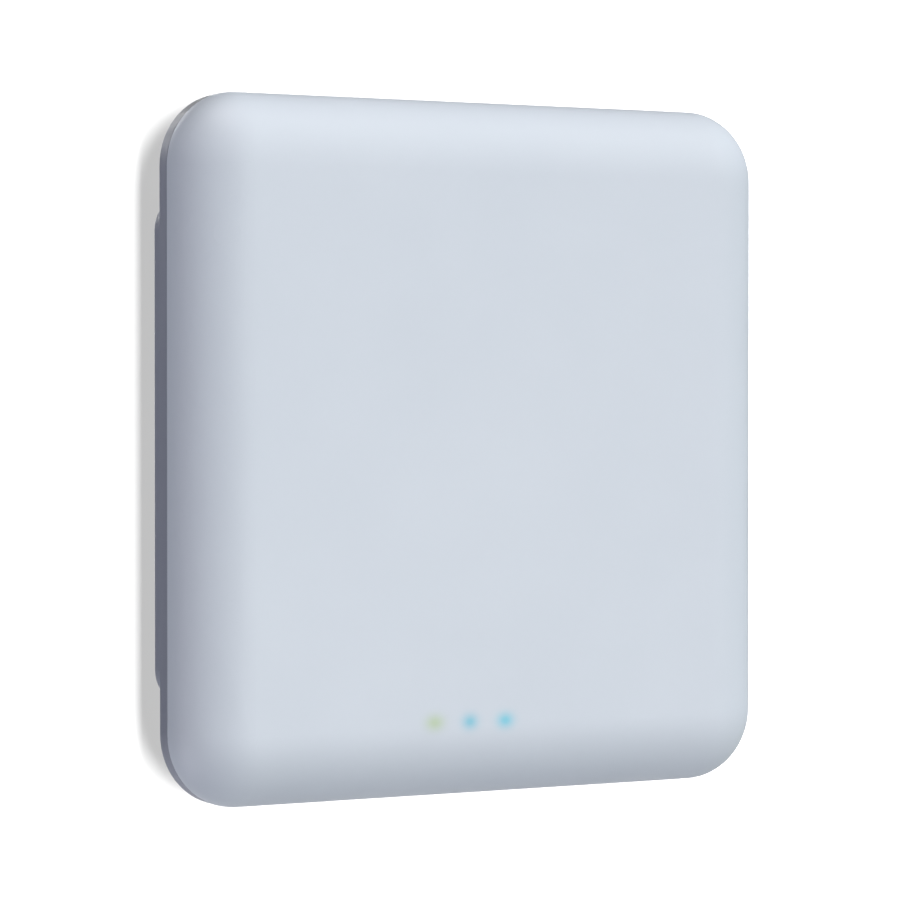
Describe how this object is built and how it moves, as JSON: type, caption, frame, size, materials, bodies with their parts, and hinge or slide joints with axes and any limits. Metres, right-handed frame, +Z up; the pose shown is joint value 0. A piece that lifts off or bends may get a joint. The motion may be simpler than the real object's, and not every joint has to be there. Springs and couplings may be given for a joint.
{
  "type": "square wireless access point",
  "caption": "Square pillow-edged wireless access point that hangs by four studs on a slide-on wall plate, with a rear port bay, reset button and three status lights.",
  "frame": {"origin": "centre of the mounting plate's back face, in the wall plane", "axes": "+X to the right seen from the front, +Y into the wall, +Z up"},
  "size_m": [0.196, 0.026, 0.2],
  "materials": {
    "cover_plastic": "satin, fine moulded texture",
    "housing_plastic": "satin, moulded",
    "plate_plastic": "matte, moulded",
    "zinc_steel": "zinc plated",
    "spring_steel": "bright",
    "foot_rubber": "matte",
    "label_film": "matte film, blank",
    "board_laminate": "solder mask",
    "heatsink_alloy": "mill finish",
    "pad_silicone": "matte",
    "chip_epoxy": "matte",
    "shield_tin": "tin plated",
    "contact_gold": "gold flash",
    "jack_black": "moulded",
    "ferrite": "matte",
    "can_aluminium": "sleeved can",
    "light_acrylic": "clear moulded",
    "led_package": "lit",
    "cable_black": "jacket",
    "button_plastic": "moulded"
  },
  "bodies": {
    "bracket": {"mounting_plate": "plate_plastic", "spring_foot": "spring_steel", "spring_rivets": "zinc_steel"},
    "access_point": {"front_cover": "cover_plastic", "rear_housing": "housing_plastic", "mounting_studs": "zinc_steel", "rubber_feet": "foot_rubber", "case_screws": "zinc_steel", "rating_label": "label_film", "main_circuit_board": "board_laminate", "board_screws": "zinc_steel", "heat_spreader": "heatsink_alloy", "thermal_pads": "pad_silicone", "processor_chip": "chip_epoxy", "memory_chips": "chip_epoxy", "flash_chip": "chip_epoxy", "radio_chips": "chip_epoxy", "radio_shield_2g": "shield_tin", "radio_shield_5g": "shield_tin", "crystal_can": "shield_tin", "poe_transformer": "ferrite", "power_inductors": "ferrite", "bulk_capacitors": "can_aluminium", "regulator_chips": "chip_epoxy", "ethernet_transformer": "chip_epoxy", "ethernet_jack_shell": "shield_tin", "ethernet_jack_insert": "jack_black", "ethernet_contacts": "contact_gold", "power_jack_body": "jack_black", "power_jack_pin": "contact_gold", "reset_switch": "chip_epoxy", "status_leds": "led_package", "light_pipes": "light_acrylic", "light_baffle": "button_plastic", "side_antennas": "board_laminate", "top_antennas": "board_laminate", "coax_connectors": "contact_gold", "antenna_leads": "cable_black"},
    "spring_blade": {"retaining_spring": "spring_steel"},
    "reset_button_body": {"reset_button": "button_plastic"}
  },
  "joints": [
    {"name": "unit_slide", "type": "slide", "parent": "bracket", "child": "access_point", "axis": [0, 0, 1], "range_m": [0, 0.012]},
    {"name": "spring_flex", "type": "hinge", "parent": "bracket", "child": "spring_blade", "pos_m": [0, -0.00275, 0.0397], "axis": [1, 0, 0], "range_deg": [0, 3]},
    {"name": "reset_press", "type": "slide", "parent": "access_point", "child": "reset_button_body", "axis": [0, 0, 1], "range_m": [0, 0.0005], "stiffness_N_per_m": 2000, "springref_m": -0.0003}
  ],
  "couplings": [
    {"joint": "spring_flex", "follows": "unit_slide", "rad_per_m": 4.29}
  ]
}
